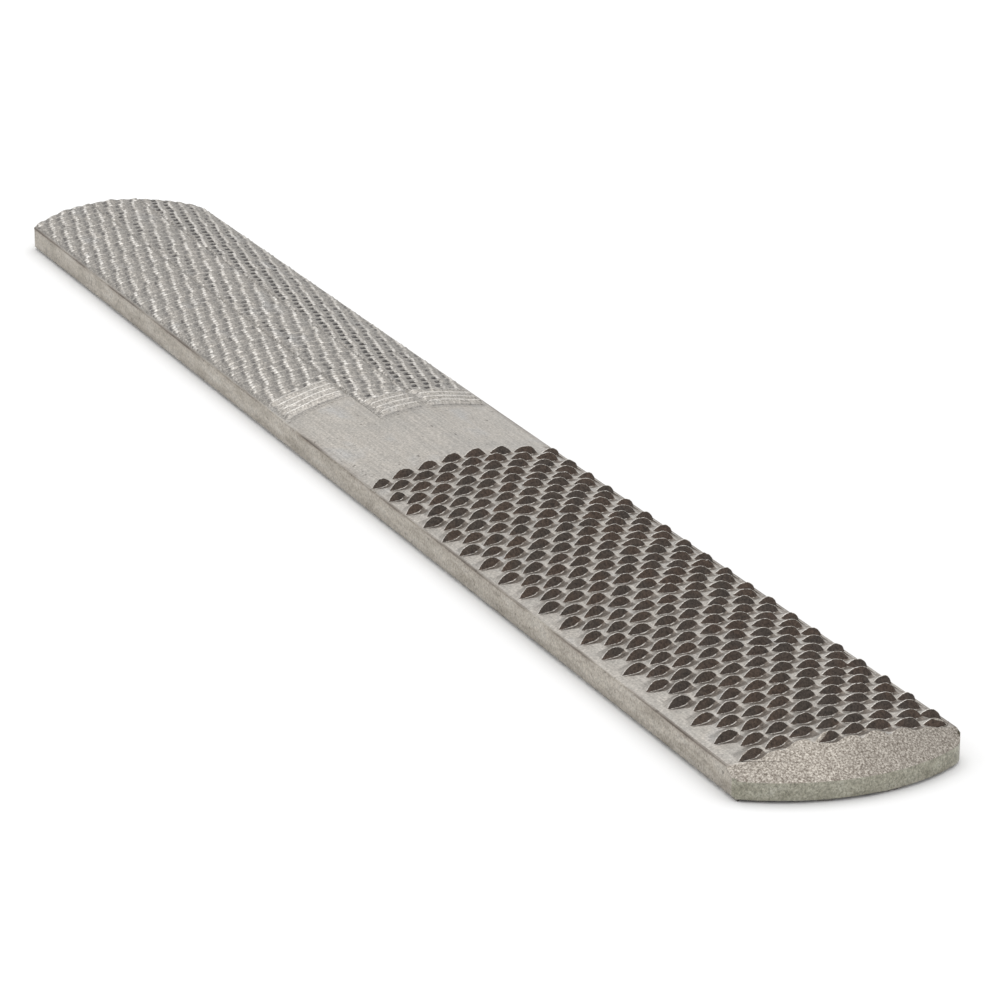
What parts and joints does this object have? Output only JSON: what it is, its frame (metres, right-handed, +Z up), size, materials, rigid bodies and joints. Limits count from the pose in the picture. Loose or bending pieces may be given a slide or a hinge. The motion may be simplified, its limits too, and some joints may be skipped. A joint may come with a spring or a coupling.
{
  "type": "four-in-hand wood rasp",
  "caption": "Flat steel hand rasp and file with no handle: half-round face over a flat face, each face half punched rasp teeth and half double-cut file teeth, with plain sides and bowed ends.",
  "frame": {"origin": "under the middle of the bar, on the plane of the flat face's tooth tips that it lies on", "axes": "+X along the bar towards the end whose half-round face has the rasp teeth, +Y across the bar, +Z up, out of the half-round face"},
  "size_m": [0.2, 0.023, 0.0048],
  "materials": {
    "ground_steel": "satin",
    "file_cut_steel": "satin",
    "rasp_cut_steel": "matte"
  },
  "bodies": {
    "root": {"blank": "ground_steel", "half_round_rasp_teeth": "rasp_cut_steel", "half_round_file_course_near": "file_cut_steel", "half_round_file_course_middle": "file_cut_steel", "half_round_file_course_far": "file_cut_steel", "flat_rasp_teeth": "rasp_cut_steel", "flat_file_teeth": "file_cut_steel"}
  },
  "joints": []
}
